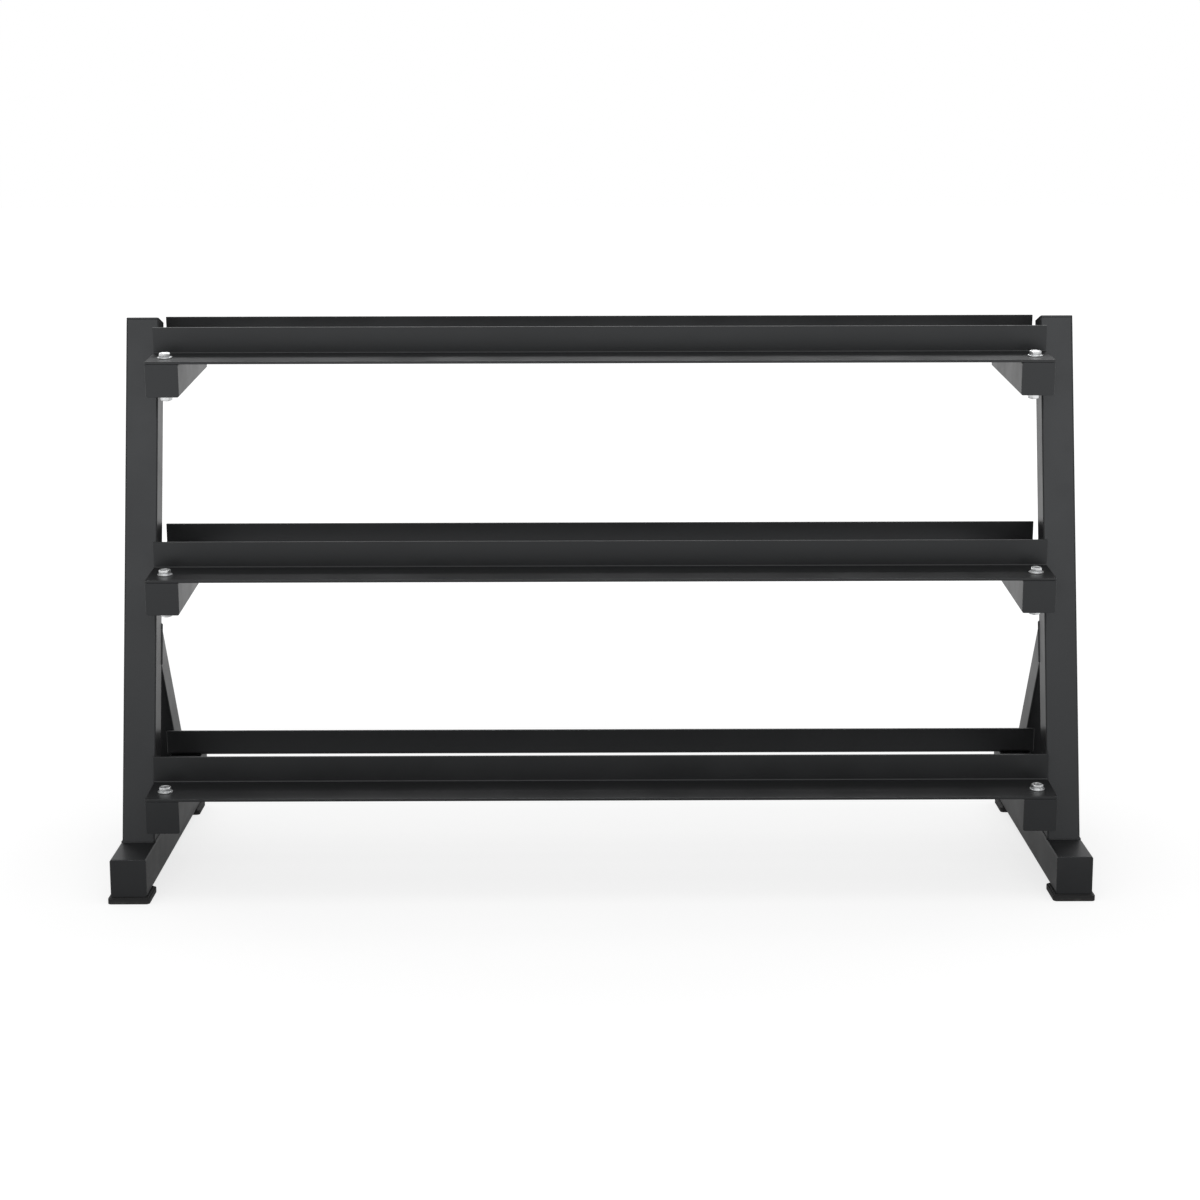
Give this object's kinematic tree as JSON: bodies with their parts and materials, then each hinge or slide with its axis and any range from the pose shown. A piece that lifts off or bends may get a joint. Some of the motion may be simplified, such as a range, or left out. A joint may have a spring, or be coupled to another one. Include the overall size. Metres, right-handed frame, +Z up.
{
  "type": "dumbbell rack",
  "caption": "Three-tier dumbbell rack: leaning welded square-tube side frames on rubber foot pads, joined by bolted pairs of steel angle rails that slope to the front.",
  "frame": {"origin": "on the floor, under the middle of the rack's box", "axes": "+X along the rack to the user's right as they face it, +Y from the front to the rear, +Z up"},
  "size_m": [1.483, 0.561, 0.855],
  "materials": {
    "frame_coat": "satin black powder coat with a fine orange-peel texture",
    "rail_coat": "satin black powder coat, a little smoother than on the tubes",
    "zinc_plate": "bright zinc plate",
    "foot_rubber": "matt moulded rubber"
  },
  "bodies": {
    "root": {"arm_bottom_left": "frame_coat", "arm_bottom_right": "frame_coat", "arm_front_plate_bottom_left": "frame_coat", "arm_front_plate_bottom_right": "frame_coat", "arm_front_plate_middle_left": "frame_coat", "arm_front_plate_middle_right": "frame_coat", "arm_front_plate_top_left": "frame_coat", "arm_front_plate_top_right": "frame_coat", "arm_middle_left": "frame_coat", "arm_middle_right": "frame_coat", "arm_top_left": "frame_coat", "arm_top_right": "frame_coat", "base_end_plate_front_left": "frame_coat", "base_end_plate_front_right": "frame_coat", "base_end_plate_rear_left": "frame_coat", "base_end_plate_rear_right": "frame_coat", "base_tube_left": "frame_coat", "base_tube_right": "frame_coat", "bolt_bottom_front_left": "zinc_plate", "bolt_bottom_front_right": "zinc_plate", "bolt_bottom_rear_left": "zinc_plate", "bolt_bottom_rear_right": "zinc_plate", "bolt_middle_front_left": "zinc_plate", "bolt_middle_front_right": "zinc_plate", "bolt_middle_rear_left": "zinc_plate", "bolt_middle_rear_right": "zinc_plate", "bolt_top_front_left": "zinc_plate", "bolt_top_front_right": "zinc_plate", "bolt_top_rear_left": "zinc_plate", "bolt_top_rear_right": "zinc_plate", "foot_pad_front_left": "foot_rubber", "foot_pad_front_right": "foot_rubber", "foot_pad_rear_left": "foot_rubber", "foot_pad_rear_right": "foot_rubber", "nut_bottom_front_left": "zinc_plate", "nut_bottom_front_right": "zinc_plate", "nut_bottom_rear_left": "zinc_plate", "nut_bottom_rear_right": "zinc_plate", "nut_middle_front_left": "zinc_plate", "nut_middle_front_right": "zinc_plate", "nut_middle_rear_left": "zinc_plate", "nut_middle_rear_right": "zinc_plate", "nut_top_front_left": "zinc_plate", "nut_top_front_right": "zinc_plate", "nut_top_rear_left": "zinc_plate", "nut_top_rear_right": "zinc_plate", "rail_front_bottom": "rail_coat", "rail_front_middle": "rail_coat", "rail_front_top": "rail_coat", "rail_rear_bottom": "rail_coat", "rail_rear_middle": "rail_coat", "rail_rear_top": "rail_coat", "rear_brace_left": "frame_coat", "rear_brace_right": "frame_coat", "upright_left": "frame_coat", "upright_right": "frame_coat", "upright_top_plate_left": "frame_coat", "upright_top_plate_right": "frame_coat"}
  },
  "joints": []
}
